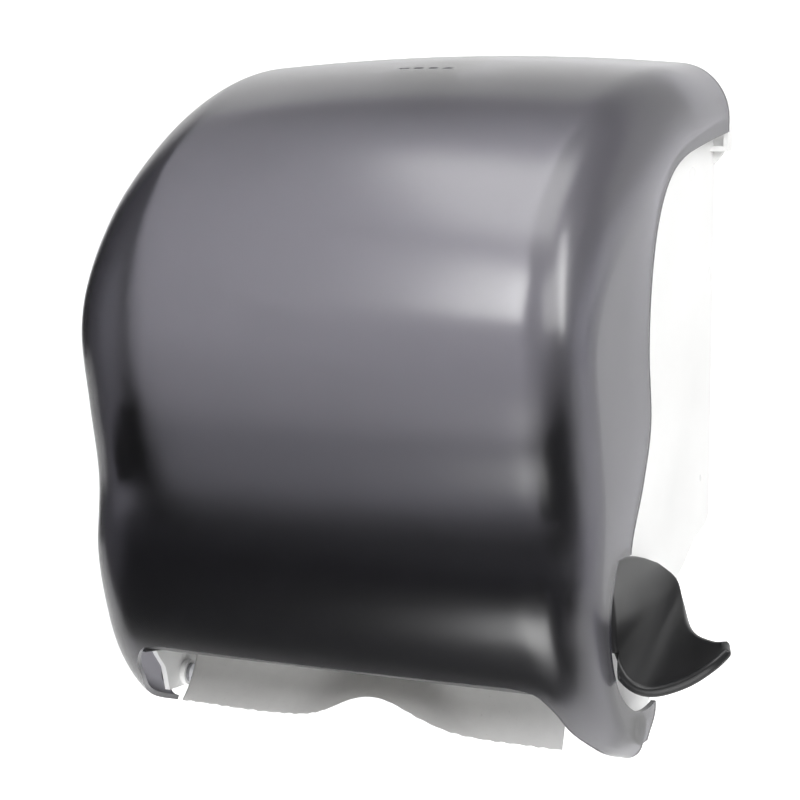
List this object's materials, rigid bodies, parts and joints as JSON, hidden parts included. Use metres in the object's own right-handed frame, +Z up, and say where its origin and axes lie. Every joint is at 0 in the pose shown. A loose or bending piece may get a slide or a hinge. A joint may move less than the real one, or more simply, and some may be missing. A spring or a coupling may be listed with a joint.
{
  "type": "lever paper towel dispenser",
  "caption": "Wall paper towel dispenser with a smoky hinged cover, white housing, side press lever geared to feed rollers, and a hanging towel.",
  "frame": {"origin": "centre of the four wall screw holes, on the back plane that meets the wall", "axes": "+X to the viewer's right, +Y into the wall, +Z up; the front faces -Y"},
  "size_m": [0.3179, 0.22, 0.3342],
  "materials": {
    "white_plastic": "moulded, fine satin",
    "black_plastic": "moulded, fine texture",
    "lever_plastic": "moulded, semi gloss",
    "smoky_plastic": "clear smoky tint, glossy",
    "steel": "bright drawn",
    "grip_rubber": "ground",
    "board": "wound",
    "towel_paper": "soft, embossed"
  },
  "bodies": {
    "housing": {"back_housing": "white_plastic", "frame_left": "black_plastic", "frame_right": "black_plastic", "frame_bridge": "black_plastic", "front_beam": "black_plastic", "roller_guard": "black_plastic", "towel_guide": "black_plastic", "tear_bar": "steel", "tear_bar_screws": "steel", "frame_screws": "steel", "roller_bush_left": "white_plastic", "roller_bush_right": "white_plastic", "lever_bush": "black_plastic", "carrier_rod": "steel", "hinge_pin_left": "steel", "hinge_pin_right": "steel", "arm_pin_left": "steel", "arm_pin_right": "steel", "latch_spring": "steel", "arm_spring_left": "steel", "arm_spring_right": "steel", "pinch_springs": "steel", "lever_return_spring": "steel", "towel_sheet": "towel_paper"},
    "cover": {"front_cover": "smoky_plastic"},
    "latch": {"latch": "black_plastic"},
    "arm_left": {"roll_arm_left": "black_plastic"},
    "arm_right": {"roll_arm_right": "black_plastic"},
    "roll": {"roll_core": "board", "towel_roll": "towel_paper"},
    "drive_roller": {"roller_shaft": "steel", "roller_body": "black_plastic", "roller_grips": "grip_rubber", "feed_wheel": "black_plastic"},
    "pinion": {"roller_pinion": "white_plastic", "roller_clutch": "steel"},
    "carrier": {"pinch_carrier": "black_plastic"},
    "pinch_roller": {"pinch_shaft": "steel", "pinch_roller": "grip_rubber"},
    "lever": {"lever_paddle": "lever_plastic", "lever_shaft": "steel", "sector_gear": "white_plastic", "lever_screw": "steel"}
  },
  "joints": [
    {"name": "cover_hinge", "type": "hinge", "parent": "housing", "child": "cover", "pos_m": [0, -0.124, -0.153], "axis": [1, 0, 0], "range_deg": [0, 95]},
    {"name": "latch_slide", "type": "slide", "parent": "housing", "child": "latch", "axis": [0, 0, -1], "range_m": [0, 0.0035], "stiffness_N_per_m": 400, "springref_m": -0.003, "deforming": ["latch_spring"]},
    {"name": "arm_left_flex", "type": "hinge", "parent": "housing", "child": "arm_left", "pos_m": [-0.1065, -0.03, 0.04], "axis": [0, 0, -1], "range_deg": [0, 6], "stiffness_Nm_per_rad": 4, "springref_deg": -2.86, "deforming": ["arm_spring_left"]},
    {"name": "arm_right_flex", "type": "hinge", "parent": "housing", "child": "arm_right", "pos_m": [0.1065, -0.03, 0.04], "axis": [0, 0, 1], "range_deg": [0, 6], "stiffness_Nm_per_rad": 4, "springref_deg": -2.86, "deforming": ["arm_spring_right"]},
    {"name": "lever_press", "type": "hinge", "parent": "housing", "child": "lever", "pos_m": [0, -0.117, -0.095], "axis": [1, 0, 0], "range_deg": [0, 45], "stiffness_Nm_per_rad": 0.35, "springref_deg": -17.19, "deforming": ["lever_return_spring"]},
    {"name": "roller_spin", "type": "hinge", "parent": "housing", "child": "drive_roller", "pos_m": [0, -0.16196, -0.09688], "axis": [1, 0, 0], "continuous": true},
    {"name": "pinion_spin", "type": "hinge", "parent": "housing", "child": "pinion", "pos_m": [0, -0.16196, -0.09688], "axis": [1, 0, 0], "continuous": true},
    {"name": "carrier_swing", "type": "hinge", "parent": "housing", "child": "carrier", "pos_m": [0, -0.12802, -0.068], "axis": [1, 0, 0], "range_deg": [0, 8], "stiffness_Nm_per_rad": 3, "springref_deg": -5.73, "deforming": ["pinch_springs"]},
    {"name": "pinch_spin", "type": "hinge", "parent": "carrier", "child": "pinch_roller", "pos_m": [0, -0.13062, -0.09491], "axis": [1, 0, 0], "continuous": true},
    {"name": "roll_spin", "type": "hinge", "parent": "housing", "child": "roll", "pos_m": [0, -0.1035, 0.04], "axis": [1, 0, 0], "continuous": true}
  ],
  "couplings": [
    {"joint": "roller_spin", "follows": "lever_press", "ratio": -4},
    {"joint": "pinion_spin", "follows": "lever_press", "ratio": -4},
    {"joint": "pinch_spin", "follows": "lever_press", "ratio": 6.735},
    {"joint": "roll_spin", "follows": "lever_press", "ratio": 0.826}
  ]
}
